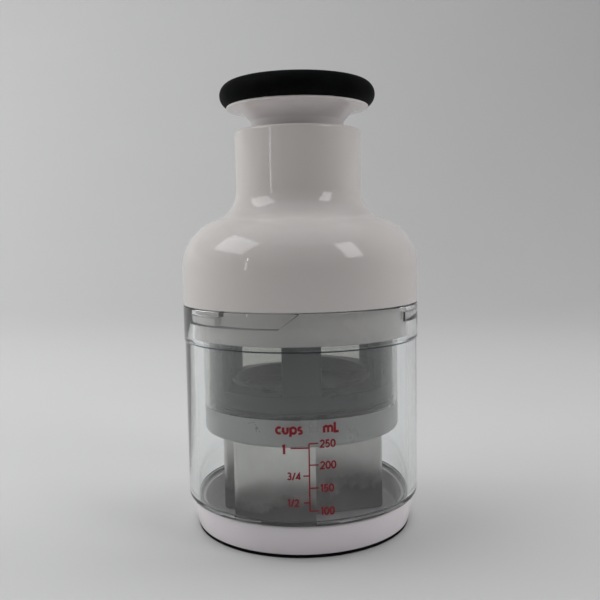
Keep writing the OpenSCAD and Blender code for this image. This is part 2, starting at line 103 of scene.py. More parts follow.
# Cup
collar_step = 0.4
collar_h = 14
collar_edge_h = 0.75    # height of the rounded lower edge of the collar
cup_wall = 3.7
cup_round = 3
spigot_gap = 2.5
spigot_wall = 1.2
cup_z = low("clear_cup")
rim_z = high("clear_cup")
collar_r = radius("clear_cup")
collar_z = rim_z - collar_h
cup_r = collar_r - collar_step
cup_in_r = collar_r - cup_wall
spigot_r = base_rim_r - spigot_gap
spigot_in_r = spigot_r - spigot_wall

# Bayonet
skirt_gap = 0.5
skirt_wall = 2
skirt_lip_t = 2
lug_out = 2.6
lug_drop = 2.6
lug_h = 3
lug_angle = 20
lug_azimuth = -142.5
lug_gap = 0.4
channel_gap = 0.3
unlock_angle = 32
mouth_w = 22.8
mouth_slope_w = 8.2
skirt_z = low("skirt_ring")
skirt_top_z = high("skirt_ring")
skirt_r = cup_in_r - skirt_gap
skirt_in_r = skirt_r - skirt_wall
lug_r = skirt_r + lug_out
lug_top_z = rim_z - lug_drop
lug_z = lug_top_z - lug_h
channel_r = lug_r + channel_gap

# Housing
shell_wall = 2.5
shell_recess = 0.2      # depth of the recess that holds the skirt's flange
neck_h = 53.8
neck_edge = 1.5
shoulder_r = 20
throat_r = 12
rib_t = 3.2
rib_in_r = 19.2
shell_r = radius("housing_shell")
shell_z = low("housing_shell")
shell_in_r = shell_r - shell_wall
bush_r = radius("neck_bush")
neck_r = bush_r + shell_wall
neck_top_z = high("housing_shell")
shoulder_z = neck_top_z - neck_h
rib_z = high("spring_seat")

# Plunger
stroke = 34
stem_r = 18.6
stem_wall = 2.4
flange_w = 5.4
flange_t = 2.5
knob_edge_r = 5
knob_bulge = 4.4
flare_r = 10.2
flare_rim = 0.8
slot_w = 7
slot_gap = 0.6
stem_in_r = stem_r - stem_wall
plate_top_z = high("drive_plate")
flange_r = stem_r + flange_w
flange_z = plate_top_z + flange_t
knob_z = low("knob_grip")
knob_top_z = high("knob_grip")
knob_r = radius("knob_grip")
core_top_z = knob_z + knob_bulge
slot_low_z = low("spring_seat") - stroke - slot_gap
slot_high_z = rib_z + slot_gap

# Cage
ring_h = 7.6
ring_round = 4
bearing_r = 27
bearing_rib = 1.2       # width and height of the rib round the bearing
leg_inset = 0.3
leg_t = 5
leg_w = 14
leg_skin = 2.2          # the leg is a thin curved plate with a rib inside it
leg_rib_w = 6
leg_count = 6
ring_z = low("blade_frame")
ring_r = radius("blade_frame")
ring_top_z = ring_z + ring_h
bearing_rib_r = bearing_r + bearing_rib
bearing_rib_z = ring_top_z + bearing_rib
leg_r = ring_r - leg_inset
leg_top_z = high("blade_frame")

# Guard sleeve
sleeve_wall = 1.4
hook_w = 1.4
hook_h = 1.4
sleeve_lip_w = 2.6
sleeve_lip_t = 1.8
clip_groove = 0.45
clip_groove_h = 1.8
frost_drop = 0.6        # the frosting ends this far below the ring of the cage
sleeve_z = low("guard_sleeve")
sleeve_top_z = high("guard_sleeve")
hook_z = sleeve_top_z - hook_h
sleeve_hook_r = radius("guard_sleeve")
sleeve_r = sleeve_hook_r - hook_w
sleeve_in_r = sleeve_r - sleeve_wall
sleeve_lip_r = sleeve_in_r - sleeve_lip_w
sleeve_lip_z = sleeve_z + sleeve_lip_t
sleeve_split_z = ring_z - frost_drop
clip_z = low("stripper_clip") - 0.1
clip_r = sleeve_in_r + clip_groove
clip_top_z = clip_z + clip_groove_h

# Rotor
rotor_flange_t = 3.8
rotor_gap = 0.1
dish_depth = 1.4
socket_depth = 2
rotor_z = low("rotor_disc")
rotor_top_z = high("rotor_disc")
rotor_flange_z = rotor_z + rotor_flange_t
rotor_flange_r = radius("rotor_disc")
rotor_r = bearing_r - rotor_gap
dish_z = rotor_top_z - dish_depth
socket_z = dish_z - socket_depth
shaft_r = radius("rotor_shaft")
socket_r = shaft_r + rotor_gap

# Blade strip
strip_t = 0.6
strip_tip_t = 0.12
grind_h = 1.2
fold_r = 1.7
fold_margin = 0.8
stripper_gap = 0.3
strip_end_x = 1.2
last_peg = 5
blade_azimuth = 8
strip_z = low("blade_strip")
strip_top_z = high("blade_strip")
fold_reach = sleeve_lip_r - stripper_gap - fold_margin - 2 * fold_r

# Spring
wire_r = 1
coil_r = 12.5
coil_turns = 9
closed_turns = 0.75     # turns at each end that lie closed on each other
closed_rise = 2.05 * wire_r * closed_turns
coil_z = low("return_spring")
coil_top_z = high("return_spring")


# ---------------------------------------------------------------- mesh helpers
def arc(r, z, size, start, end, steps=24):
    """Corners on an arc round (r, z) in the half plane, from start to end degrees."""
    turn = [math.radians(start + (end - start) * k / steps) for k in range(steps + 1)]
    return [(r + size * math.cos(a), z + size * math.sin(a), 0) for a in turn]


def rounded(corners, edge=EDGE):
    """Closed half section whose corners (r, z) or (r, z, rounding) are drawn as arcs."""
    straight = math.radians(86)     # half angles above this are nearly flat, and stay sharp
    longest_cut = 0.45              # share of a side that one arc may take
    degrees_per_step = 18
    out = []
    for i, corner in enumerate(corners):
        p = Vector(corner[:2])
        size = corner[2] if len(corner) > 2 else edge
        before = Vector(corners[i - 1][:2]) - p
        after = Vector(corners[(i + 1) % len(corners)][:2]) - p
        if size == 0 or p.x < FINE or min(before.length, after.length) < FINE:
            out.append(p)
            continue
        half = before.angle(after) / 2
        if half > straight:
            out.append(p)
            continue
        cut = min(size / math.tan(half), longest_cut * before.length, longest_cut * after.length)
        start, end = p + before.normalized() * cut, p + after.normalized() * cut
        bisector = (before.normalized() + after.normalized()).normalized()
        centre = p + bisector * cut / math.cos(half)
        steps = max(2, round(math.degrees(math.pi - 2 * half) / degrees_per_step))
        spoke = start - centre
        turn = spoke.angle_signed(end - centre)
        for k in range(steps + 1):
            out.append(centre + Matrix.Rotation(-turn * k / steps, 2) @ spoke)
    return [tuple(p) for p in out]


def mesh_of(name, verts, faces):
    """Mesh with its faces turned outwards."""
    mesh = bpy.data.meshes.new(name)
    mesh.from_pydata(verts, [], faces)
    work = bmesh.new()
    work.from_mesh(mesh)
    bmesh.ops.remove_doubles(work, verts=work.verts, dist=1e-5)
    bmesh.ops.recalc_face_normals(work, faces=work.faces)
    work.to_mesh(mesh)
    work.free()
    mesh.update()
    return mesh


def tube_faces(count, ring):
    """Faces of a closed tube of count rings, each of ring vertices, with both ends filled."""
    faces = []
    for i in range(count - 1):
        for k in range(ring):
            j = (k + 1) % ring
            faces.append((ring * i + k, ring * i + j, ring * (i + 1) + j, ring * (i + 1) + k))
    return faces + [tuple(range(ring)), tuple(ring * (count - 1) + k for k in range(ring))]


def lathe(name, section, steps=TURN_STEPS):
    """Solid of revolution round Z of a closed half section."""
    verts, faces, rings = [], [], []
    for r, z in section:
        if r < FINE:
            rings.append([len(verts)] * steps)
            verts.append((0, 0, z))
        else:
            rings.append(list(range(len(verts), len(verts) + steps)))
            for k in range(steps):
                a = 2 * math.pi * k / steps
                verts.append((r * math.cos(a), r * math.sin(a), z))
    for i, ring in enumerate(rings):
        above = rings[(i + 1) % len(rings)]
        for k in range(steps):
            j = (k + 1) % steps
            corners = list(dict.fromkeys((ring[k], ring[j], above[j], above[k])))
            if len(corners) > 2:
                faces.append(corners)
    return mesh_of(name, verts, faces)


def curved_block(name, columns, r0, r1):
    """Block between two radii, from columns (azimuth in degrees, low z, high z)."""
    verts = []
    for azimuth, z0, z1 in columns:
        a = math.radians(azimuth)
        for r, z in ((r0, z0), (r1, z0), (r1, z1), (r0, z1)):
            verts.append((r * math.cos(a), r * math.sin(a), z))
    return mesh_of(name, verts, tube_faces(len(columns), 4))


def prism(name, outline, z0, z1):
    """Upright prism over a closed outline of (x, y) points."""
    verts = [(x, y, z) for z in (z0, z1) for x, y in outline]
    return mesh_of(name, verts, tube_faces(2, len(outline)))


def joined(name, meshes):
    """One mesh of several."""
    work = bmesh.new()
    for mesh in meshes:
        work.from_mesh(mesh)
    out = bpy.data.meshes.new(name)
    work.to_mesh(out)
    work.free()
    return out


def turned(mesh, angles):
    """Copies of a mesh turned about Z by the angles in degrees, as one mesh."""
    copies = [mesh.copy() for _ in angles]
    for copy, angle in zip(copies, angles):
        copy.transform(Matrix.Rotation(math.radians(angle), 4, "Z"))
    return joined(mesh.name + "_set", copies)


def worked(name, mesh, kind, **settings):
    """Mesh after one modifier."""
    holder = bpy.data.objects.new(name, mesh)
    bpy.context.scene.collection.objects.link(holder)
    modifier = holder.modifiers.new(kind, kind)
    for key, value in settings.items():
        setattr(modifier, key, value)
    bpy.context.view_layer.update()
    out = bpy.data.meshes.new_from_object(
        holder.evaluated_get(bpy.context.evaluated_depsgraph_get()))
    bpy.data.objects.remove(holder)
    out.name = name
    return out


def cut_away(name, mesh, other):
    """Mesh without what lies in the other mesh."""
    tool = bpy.data.objects.new(name + "_tool", other)
    bpy.context.scene.collection.objects.link(tool)
    out = worked(name, mesh, "BOOLEAN", object=tool, operation="DIFFERENCE", solver="EXACT")
    bpy.data.objects.remove(tool)
    return out


def softened(name, mesh, width=EDGE, segments=3, angle=40):
    """Mesh with bevelled edges."""
    return worked(name, mesh, "BEVEL", width=width, segments=segments, limit_method="ANGLE",
                  angle_limit=math.radians(angle), use_clamp_overlap=True, harden_normals=False)


def finish_mesh(name, mesh, body, material, nodes=(), angle=32):
    """Makes an object of a mesh in millimetres, smooths it and puts it on its body."""
    mesh.transform(Matrix.Scale(MM, 4))
    mesh.shade_smooth()
    mesh.set_sharp_from_angle(angle=math.radians(angle))
    piece = bpy.data.objects.new(name, mesh)
    bpy.context.scene.collection.objects.link(piece)
    mesh.materials.clear()
    mesh.materials.append(material)
    if body:
        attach(piece, body)
    if nodes:
        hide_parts(*nodes)
    return piece


# ---------------------------------------------------------------- materials
class Nodes:
    """Short calls for one material's node tree."""

    def __init__(self, name):
        self.material = bpy.data.materials.new(name)
        self.material.use_nodes = True
        self.tree = self.material.node_tree
        self.shader = self.tree.nodes["Principled BSDF"]
        self.place = self.tree.nodes.new("ShaderNodeTexCoord").outputs["Object"]

    def fill(self, node, inputs):
        """Links or sets inputs that are named with _ for each space."""
        for key, value in inputs.items():
            socket = node.inputs[key.replace("_", " ")]
            if isinstance(value, bpy.types.NodeSocket):
                self.tree.links.new(value, socket)
            else:
                socket.default_value = value
        return node

    def add(self, kind, **inputs):
        """A new node."""
        return self.fill(self.tree.nodes.new("ShaderNode" + kind), inputs)

    def set(self, **inputs):
        """Inputs of the shader itself."""
        self.fill(self.shader, inputs)

    def stretched(self, x, y, z):
        """Place with its own scale along each axis."""
        return self.add("Mapping", Vector=self.place, Scale=(x, y, z)).outputs["Vector"]

    def noise(self, scale, detail=4.0, rough=0.55, place=None):
        """Noise of scale cells to the metre."""
        return self.add("TexNoise", Vector=place or self.place, Scale=scale, Detail=detail,
                        Roughness=rough).outputs["Fac"]

    def cells(self, scale):
        """Distance to the middle of the nearest of the cells, scale of them to the metre."""
        return self.add("TexVoronoi", Vector=self.place, Scale=scale).outputs["Distance"]

    def spread(self, value, lo, hi, start=0.3, end=0.7):
        """A texture's value from start to end, laid over lo to hi."""
        return self.add("MapRange", Value=value, From_Min=start, From_Max=end, To_Min=lo,
                        To_Max=hi).outputs["Result"]

    def plus(self, one, other):
        """Sum of two values."""
        node = self.add("Math", Value=one)
        self.tree.links.new(other, node.inputs[1])
        return node.outputs[0]

    def tint(self, factor, dark, light):
        """Color between dark and light."""
        node = self.add("Mix")
        node.data_type = "RGBA"
        self.tree.links.new(factor, node.inputs[0])
        node.inputs[6].default_value = (*dark, 1)
        node.inputs[7].default_value = (*light, 1)
        return node.outputs[2]

    def times(self, one, other):
        """Product of two colors."""
        node = self.add("Mix")
        node.data_type, node.blend_type = "RGBA", "MULTIPLY"
        node.inputs[0].default_value = 1.0
        self.tree.links.new(one, node.inputs[6])
        self.tree.links.new(other, node.inputs[7])
        return node.outputs[2]

    def bump(self, height, depth, strength=1.0, under=None):
        """Bump of a height texture, its depth in millimetres."""
        node = self.add("Bump", Height=height, Strength=strength, Distance=depth * MM)
        if under:
            self.tree.links.new(under, node.inputs["Normal"])
        return node.outputs["Normal"]


def dimmed(color, share):
    """Color times a share."""
    return tuple(c * share for c in color)


def moulded(name, color, rough, grain=2500.0, depth=0.004, sheen=0.5, vary=0.04):
    """Moulded plastic: slow color drift, uneven polish, fine grain and a slight waviness."""
    n = Nodes(name)
    n.set(Base_Color=n.tint(n.noise(18.0, 3.0), dimmed(color, 1 - vary), color),
          Roughness=n.spread(n.noise(60.0, 6.0), rough * 0.8, rough * 1.25),
          Specular_IOR_Level=sheen)
    wave = n.bump(n.noise(45.0, 2.0), 0.05, 0.25)
    n.set(Normal=n.bump(n.noise(grain, 3.0), depth, 0.6, wave))
    return n.material


def rubber(name, color, rough, grain):
    """Soft rubber: matt, with a fine leathery grain and lighter dust in it."""
    n = Nodes(name)
    dust = n.spread(n.noise(90.0, 8.0, 0.7), 0.0, 1.0, 0.45, 0.75)
    n.set(Base_Color=n.tint(dust, color, tuple(c * 1.7 + 0.002 for c in color)),
          Roughness=n.spread(n.noise(40.0, 5.0), rough * 0.85, rough * 1.1),
          Specular_IOR_Level=0.3, IOR=1.14,
          Normal=n.bump(n.cells(grain), 0.03, 0.35))
    return n.material


def clear(name, color, rough, smear=1.0):
    """Clear plastic, with wiping marks in its polish."""
    n = Nodes(name)
    wiped = n.noise(1.0, 6.0, 0.6, n.stretched(40.0, 40.0, 14.0))
    n.set(Base_Color=(*color, 1), Transmission_Weight=1.0, IOR=1.49,
          Roughness=n.spread(wiped, rough, rough + 0.03 * smear, 0.45, 0.75),
          Normal=n.bump(n.noise(30.0, 2.0), 0.04, 0.12))
    return n.material


def milky(name, color, rough, clearness):
    """Frosted plastic that scatters a part of its light, with a slow cloudiness."""
    n = Nodes(name)
    n.set(Base_Color=n.tint(n.noise(35.0, 4.0), dimmed(color, 0.94), color),
          Transmission_Weight=clearness, IOR=1.49,
          Roughness=n.spread(n.noise(80.0, 5.0), rough * 0.85, rough * 1.15),
          Normal=n.bump(n.noise(1800.0, 3.0), 0.006, 0.5))
    return n.material


def steel(name, color, rough, grain=(900.0, 900.0, 30.0), darker_below=None):
    """Rolled steel: long fine lines, clouds in the polish and dried water spots.

    Its last argument is (height in metres, darkness): below that height the steel's colour is
    darker.
    """
    n = Nodes(name)
    lines = n.noise(1.0, 5.0, 0.7, n.stretched(*grain))
    clouds = n.spread(n.noise(55.0, 5.0), 0.0, 1.0, 0.35, 0.65)
    polish = n.tint(clouds, dimmed(color, 0.86), color)
    if darker_below:
        height, darkness = darker_below
        fade, ragged = 0.0025, 0.004
        above = n.add("SeparateXYZ", Vector=n.place).outputs["Z"]
        edge = n.plus(above, n.spread(n.noise(70.0, 6.0, 0.6), -ragged, ragged))
        above_line_mask = n.spread(edge, 0.0, 1.0, height - fade, height + fade)
        polish = n.times(polish, n.tint(above_line_mask, (darkness,) * 3, (1, 1, 1)))
    spots = n.spread(n.cells(140.0), 1.0, 0.0, 0.06, 0.16)
    n.set(Base_Color=polish, Metallic=1.0, Anisotropic=0.4,
          Roughness=n.spread(lines, rough * 0.85, rough * 1.2),
          Normal=n.bump(spots, 0.01, 0.3, n.bump(lines, 0.006, 0.5)))
    return n.material


white_gloss = moulded("white_gloss", (0.68, 0.645, 0.625), 0.09)
# Painted light: the base gets a lighter copy of the white plastic, brighter than white_gloss to
# stand in for light on it
white_base_painted_light = moulded("white_base_painted_light", (0.88, 0.83, 0.86), 0.2)
# Painted light: the stem gets a lighter copy of the bell's white plastic, to make up for the
# grip's shadow on it
white_stem_painted_light = moulded("white_stem_painted_light", (0.75, 0.70, 0.69), 0.12)
# Painted light: the skirt ring gets a lighter copy of the white plastic, to make up for the shade
# it lies in behind the clear cup
white_inner_painted_light = moulded("white_inner_painted_light", (0.86, 0.82, 0.80), 0.3, depth=0.008)
slate = moulded("slate_satin", (0.022, 0.032, 0.048), 0.32, depth=0.01, vary=0.12)
grey = moulded("grey_satin", (0.42, 0.44, 0.46), 0.35, depth=0.01)
grip_rubber = rubber("grip_rubber", (0.0020, 0.0023, 0.0025), 0.62, 2600.0)
foot_rubber = rubber("foot_rubber", (0.004, 0.004, 0.004), 0.75, 1800.0)
seal_rubber = rubber("seal_rubber", (0.55, 0.56, 0.57), 0.5, 1500.0)
clear_plastic = clear("clear_plastic", (0.955, 0.97, 0.97), 0.0, smear=0.3)
# Painted shade: a dark tinted clear plastic for the dark line along the collar's and the channels'
# edges
painted_edge_shade = clear("clear_plastic_painted_edge_shade", (0.02, 0.03, 0.045), 0.02)
sleeve_plastic = clear("sleeve_plastic", (0.72, 0.72, 0.69), 0.035)
frosted = milky("frosted_plastic", (0.95, 0.95, 0.93), 0.3, 0.5)
blade_steel = steel("blade_steel", (0.68, 0.675, 0.645), 0.36, darker_below=(0.0145, 0.36))
screw_steel = steel("screw_steel", (0.62, 0.62, 0.62), 0.25, (60.0, 60.0, 900.0))
print_red = moulded("print_red", (0.25, 0.002, 0.012), 0.45, depth=0.002, sheen=0.3)


# ---------------------------------------------------------------- grip and stem
edge_mid_r = knob_r - knob_edge_r
knob_low_angle = -math.degrees(math.asin(knob_bulge / knob_edge_r))
knob_low_r = edge_mid_r + knob_edge_r * math.cos(math.radians(knob_low_angle))
dome_h = knob_top_z - core_top_z - knob_edge_r
dome_r = (edge_mid_r ** 2 + dome_h ** 2) / (2 * dome_h)
dome_angle = math.degrees(math.asin(edge_mid_r / dome_r))
grip_section = rounded(
    [(0, core_top_z + 0.1), (edge_mid_r + 0.1, core_top_z + 0.1), (edge_mid_r + 0.1, knob_z)]
    + arc(edge_mid_r, core_top_z, knob_edge_r, knob_low_angle, 90 - dome_angle, 28)
    + arc(0, knob_top_z - dome_r, dome_r, 90 - dome_angle, 90, 16))
finish_mesh("grip", lathe("grip", grip_section), "plunger", grip_rubber,
            ["knob_grip"])

flare_mid_r = knob_low_r - flare_rim
flare_rim_z = knob_z - flare_rim
flare_z = flare_rim_z - flare_r
flare_angle = math.degrees(math.acos((flare_mid_r - stem_r) / flare_r))
stem_section = rounded(
    [(stem_in_r, plate_top_z), (flange_r, plate_top_z), (flange_r, flange_z),
     (stem_r, flange_z, 0.8), (stem_r, flare_z - 2, 0)]
    + arc(flare_mid_r, flare_z, flare_r, 180 - flare_angle, 90)
    + [(knob_low_r, flare_rim_z), (knob_low_r, knob_z, 0.2), (stem_in_r, knob_z)])
slot_cut = prism("slot", [(0, -slot_w / 2), (stem_r + 2, -slot_w / 2),
                          (stem_r + 2, slot_w / 2), (0, slot_w / 2)], slot_low_z, slot_high_z)
stem_mesh = cut_away("stem", lathe("stem", stem_section), turned(slot_cut, THREE_TURNS))
finish_mesh("stem", stem_mesh, "plunger", white_stem_painted_light, ["plunger_tube"])


# ---------------------------------------------------------------- housing
def bell_arcs(grow):
    """Shoulder and throat curves of the bell, moved inwards by grow."""
    mid_r = shell_r - shoulder_r
    throat_x = neck_r + throat_r
    rise = math.sqrt((shoulder_r + throat_r) ** 2 - (throat_x - mid_r) ** 2)
    meet = math.degrees(math.atan2(rise, throat_x - mid_r))
    return (arc(mid_r, shoulder_z, shoulder_r - grow, 0, meet, 32)
            + arc(throat_x, shoulder_z + rise, throat_r + grow, 180 + meet, 180))


recess_r = shell_in_r + shell_recess
bell_section = rounded(
    [(shell_r, shell_z)] + bell_arcs(0)
    + [(neck_r, neck_top_z, neck_edge), (bush_r, neck_top_z, 0.5),
       (bush_r, rib_z + rib_t), (rib_in_r, rib_z + rib_t), (rib_in_r, rib_z), (bush_r, rib_z, 0)]
    + bell_arcs(shell_wall)[-2::-1]
    + [(shell_in_r, skirt_top_z + 0.05, 0), (recess_r, skirt_top_z, 0), (recess_r, shell_z)])
finish_mesh("bell", lathe("bell", bell_section, BELL_STEPS), "housing", white_gloss,
            ["housing_shell"])

skirt_lip_r = sleeve_r + 0.3
skirt_lip_z = skirt_z + skirt_lip_t
skirt_flange_r = shell_in_r + 0.1
skirt_flange_z = rim_z + 0.3
skirt_section = rounded(
    [(skirt_lip_r, skirt_z), (skirt_r, skirt_z, 0.5), (skirt_r, skirt_flange_z, 0.2),
     (skirt_flange_r, skirt_flange_z, 0.2), (skirt_flange_r, skirt_top_z, 0.2),
     (skirt_in_r, skirt_top_z, 0.2), (skirt_in_r, skirt_lip_z, 0.3),
     (skirt_lip_r, skirt_lip_z, 0.3)])
lug_columns = [(lug_azimuth + lug_angle * (k / 12 - 0.5), lug_z, lug_top_z) for k in range(13)]
lug = softened("lug", curved_block("lug", lug_columns, skirt_r - 1, lug_r), 0.4)
skirt_mesh = joined("skirt", [lathe("skirt", skirt_section), turned(lug, THREE_TURNS)])
finish_mesh("skirt", skirt_mesh, "housing", white_inner_painted_light, ["skirt_ring"])


# ---------------------------------------------------------------- cup
collar_edge = [(collar_r + (collar_r - cup_r) * (math.sin(a) - 1),
                collar_z + collar_edge_h * (1 - math.cos(a)), 0)
               for a in [math.pi / 2 * k / 8 for k in range(9)]]
cup_floor_z = base_rim_z + cup_round / 2
cup_section = rounded(
    [(spigot_in_r, cup_z, 0.2), (spigot_r, cup_z, 0.2), (spigot_r, base_rim_z + FINE, 0.1),
     (cup_r, base_rim_z + FINE, cup_round), (cup_r, collar_z, 0.1)]
    + collar_edge
    + [(collar_r, rim_z, 0.4), (cup_in_r, rim_z, 0.4), (cup_in_r, cup_floor_z, 0.6),
       (spigot_in_r, cup_floor_z, 0.3)])


def channel_columns():
    """Columns of the recess for one lug, from its closed end to its sloping mouth."""
    play = math.degrees(math.asin(lug_gap / skirt_r))
    start, end = -lug_angle / 2 - play, lug_angle / 2 + play + unlock_angle
    low_z, top_z, open_z = lug_z - lug_gap, lug_top_z + lug_gap, rim_z + 2
    mouth = end - math.degrees(math.asin(mouth_w / channel_r))
    past_rim = 1.05         # the slope runs a little past the rim
    slope = math.degrees(mouth_slope_w / channel_r) * past_rim
    rise = (rim_z - low_z) * past_rim
    out = [(start + (mouth - start) * k / 20, low_z, top_z) for k in range(20)]
    out.append((mouth - 0.02, low_z, top_z))
    out += [(mouth + (end - mouth) * k / 20, low_z, open_z) for k in range(21)]
    out += [(end + slope * k / 16, low_z + rise * k / 16, open_z) for k in range(1, 17)]
    return [(a + lug_azimuth, z0, z1) for a, z0, z1 in out]


def on_dark_edge(face):
    """Tells if a face is on a rounded edge of the collar or of a channel.

    There the light's path in the plastic is long, so the edge shows as a dark line, which is
    painted shade here: these faces get a dark tint.
    """
    centre, normal = face.center, face.normal
    r = math.hypot(centre.x, centre.y)
    outward = abs(normal.x * centre.x + normal.y * centre.y) / r
    if r > cup_r - 0.1 and collar_z - 0.15 < centre.z < collar_z + 0.85 * collar_edge_h:
        return True
    on_wall = channel_r - 0.35 < r < channel_r + 0.1 and centre.z > collar_z + 1
    return on_wall and 0.1 < outward < 0.985


channel = curved_block("channel", channel_columns(), cup_in_r - 1, channel_r)
channel = softened("channel", channel, 0.3, 2)
cup_mesh = cut_away("cup", lathe("cup", cup_section, WIDE_STEPS), turned(channel, THREE_TURNS))
painted_shade_faces = [face.index for face in cup_mesh.polygons if on_dark_edge(face)]
finish_mesh("cup", cup_mesh, "cup", clear_plastic, ["clear_cup"], angle=28)
# Painted shade: the faces on these edges take the dark tinted plastic as a second material
cup_mesh.materials.append(painted_edge_shade)
for index in painted_shade_faces:
    cup_mesh.polygons[index].material_index = 1


# ---------------------------------------------------------------- base
base_section = rounded(
    [(0, foot_z), (foot_r - foot_w, foot_z, 0.2), (foot_r - foot_w, foot_top_z, 0.1),
     (foot_r, foot_top_z, 0.1), (foot_r, foot_z, 0.1), (base_low_r, foot_z, 0.8),
     (base_rim_r, base_rim_z, 0.5), (groove_out_r, base_rim_z, 0.3), (groove_out_r, groove_z, 0.2),
     (groove_in_r, groove_z, 0.2), (groove_in_r, base_rim_z, 0.4), (floor_r, base_rim_z, 0.4),
     (floor_r, base_floor_z, 1.5), (0, base_floor_z)])
finish_mesh("base", lathe("base", base_section, WIDE_STEPS), "base", white_base_painted_light,
            ["base_cap"])

foot_in_r = foot_r - foot_w + FINE
foot_section = rounded(
    [(foot_in_r, foot_top_z - FINE), (foot_in_r, 0), (foot_out_r, 0, 0.3),
     (foot_out_r, foot_z - FINE, 0.3), (foot_r - FINE, foot_z - FINE, 0.1),
     (foot_r - FINE, foot_top_z - FINE)])
finish_mesh("foot", lathe("foot", foot_section), "base", foot_rubber,
            ["base_foot_ring"])


# ---------------------------------------------------------------- cage
cage_section = rounded(
    [(bearing_r, ring_z, 0.4), (ring_r, ring_z, ring_round), (ring_r, ring_top_z, 0.5),
     (bearing_rib_r, ring_top_z, 0.8), (bearing_rib_r, bearing_rib_z, 0.4),
     (bearing_r, bearing_rib_z, 0.4)])


def leg_mesh():
    """The leg on +X: a curved plate and the rib inside it."""
    root_z = ring_top_z - 1
    plate_in_r, rib_out_x = leg_r - leg_skin, leg_r - leg_skin / 2
    lines = [leg_w * (k / 10 - 0.5) for k in range(11)]
    plate = ([(math.sqrt(leg_r ** 2 - y ** 2), y) for y in lines]
             + [(math.sqrt(plate_in_r ** 2 - y ** 2), y) for y in reversed(lines)])
    rib = [(leg_r - leg_t, -leg_rib_w / 2), (rib_out_x, -leg_rib_w / 2),
           (rib_out_x, leg_rib_w / 2), (leg_r - leg_t, leg_rib_w / 2)]
    return joined("leg", [
        softened("leg_plate", prism("leg_plate", plate, root_z, leg_top_z), 0.6),
        softened("leg_rib", prism("leg_rib", rib, root_z, leg_top_z), 0.5)])


leg_turns = [-90 + 360 / leg_count * k for k in range(leg_count)]
cage_mesh = joined("cage", [lathe("cage", cage_section), turned(leg_mesh(), leg_turns)])
finish_mesh("cage", cage_mesh, "plunger", slate, ["blade_frame"])


# ---------------------------------------------------------------- guard sleeve and rotor
sleeve_section = rounded(
    [(sleeve_r, sleeve_split_z, 0), (sleeve_r, hook_z, 0.3), (sleeve_hook_r, hook_z),
     (sleeve_hook_r, sleeve_top_z), (sleeve_in_r, sleeve_top_z), (sleeve_in_r, sleeve_split_z, 0)])
finish_mesh("sleeve", lathe("sleeve", sleeve_section), "housing", sleeve_plastic,
            ["guard_sleeve"])
sleeve_rim_z = sleeve_split_z - FINE
sleeve_rim_section = rounded(
    [(sleeve_lip_r, sleeve_z), (sleeve_r, sleeve_z, 1.6), (sleeve_r, sleeve_rim_z, 0),
     (sleeve_in_r, sleeve_rim_z, 0), (sleeve_in_r, clip_top_z, 0.1), (clip_r, clip_top_z, 0.1),
     (clip_r, clip_z, 0.1), (sleeve_in_r, clip_z, 0.1), (sleeve_in_r, sleeve_lip_z, 0.5),
     (sleeve_lip_r, sleeve_lip_z)])
finish_mesh("sleeve_rim", lathe("sleeve_rim", sleeve_rim_section), "housing", frosted)

rotor_section = rounded(
    [(0, rotor_z), (rotor_flange_r, rotor_z, 0.5), (rotor_flange_r, rotor_flange_z, 0.5),
     (rotor_r, rotor_flange_z, 0.3), (rotor_r, rotor_top_z, 0.8), (rotor_r - 3, rotor_top_z, 0.8),
     (rotor_r - 4.5, dish_z, 0.8), (shaft_r + 4, dish_z, 2), (shaft_r + 2, rotor_top_z, 0.8),
     (socket_r, rotor_top_z, 0.2), (socket_r, socket_z, 0.1), (0, socket_z)])
finish_mesh("rotor", lathe("rotor", rotor_section), "blades", slate,
            ["rotor_disc"])


# ---------------------------------------------------------------- blade strip
def strip_pegs():
    """Places (x, y) that the strip winds round in turn, now on the right and now on the left."""
    pitch = 2 * fold_reach / (last_peg + 1)
    pegs = []
    for i in range(last_peg + 1):
        y = (i - last_peg / 2) * pitch
        x = strip_end_x if i in (0, last_peg) else math.sqrt(fold_reach ** 2 - y * y)
        pegs.append(Vector((-x if i % 2 else x, y)))
    return pegs


def strip_course(fold_steps=20):
    """Middle line of the strip in plan: straight runs that touch the pegs, and the folds."""
    pegs = strip_pegs()
    peg_size = [0 if i in (0, last_peg) else fold_r for i in range(last_peg + 1)]
    side = [-1 if i % 2 else 1 for i in range(last_peg + 1)]
    touches = []
    for i in range(last_peg):
        run = pegs[i + 1] - pegs[i]
        lean = math.acos((peg_size[i] + peg_size[i + 1]) / run.length)
        touches.append(math.atan2(run.y, run.x) - side[i] * lean)
    line = [pegs[0]]
    for i in range(1, last_peg):
        start = touches[i - 1] + math.pi
        turn = math.remainder(touches[i] - start, 2 * math.pi)
        if side[i] * turn < 0:
            turn += side[i] * 2 * math.pi
        for k in range(fold_steps + 1):
            a = start + turn * k / fold_steps
            line.append(pegs[i] + fold_r * Vector((math.cos(a), math.sin(a))))
    line.append(pegs[last_peg])
    return line


def strip_mesh():
    """The strip's walls, with the lower edge ground on both faces."""
    line = strip_course()
    levels = [(strip_z, strip_tip_t / 2), (strip_z + grind_h, strip_t / 2),
              (strip_top_z, strip_t / 2)]
    verts = []
    for i, p in enumerate(line):
        before = line[i] - line[max(i - 1, 0)]
        after = line[min(i + 1, len(line) - 1)] - line[i]
        along = (before.normalized() + after.normalized()).normalized()
        across = Vector((-along.y, along.x))
        verts += [(*(p + across * w), z) for z, w in levels]
        verts += [(*(p - across * w), z) for z, w in reversed(levels)]
    return mesh_of("strip", verts, tube_faces(len(line), 2 * len(levels)))


strip = strip_mesh()
strip.transform(Matrix.Rotation(math.radians(blade_azimuth), 4, "Z"))
finish_mesh("strip", strip, "blades", blade_steel, ["blade_strip"], angle=20)


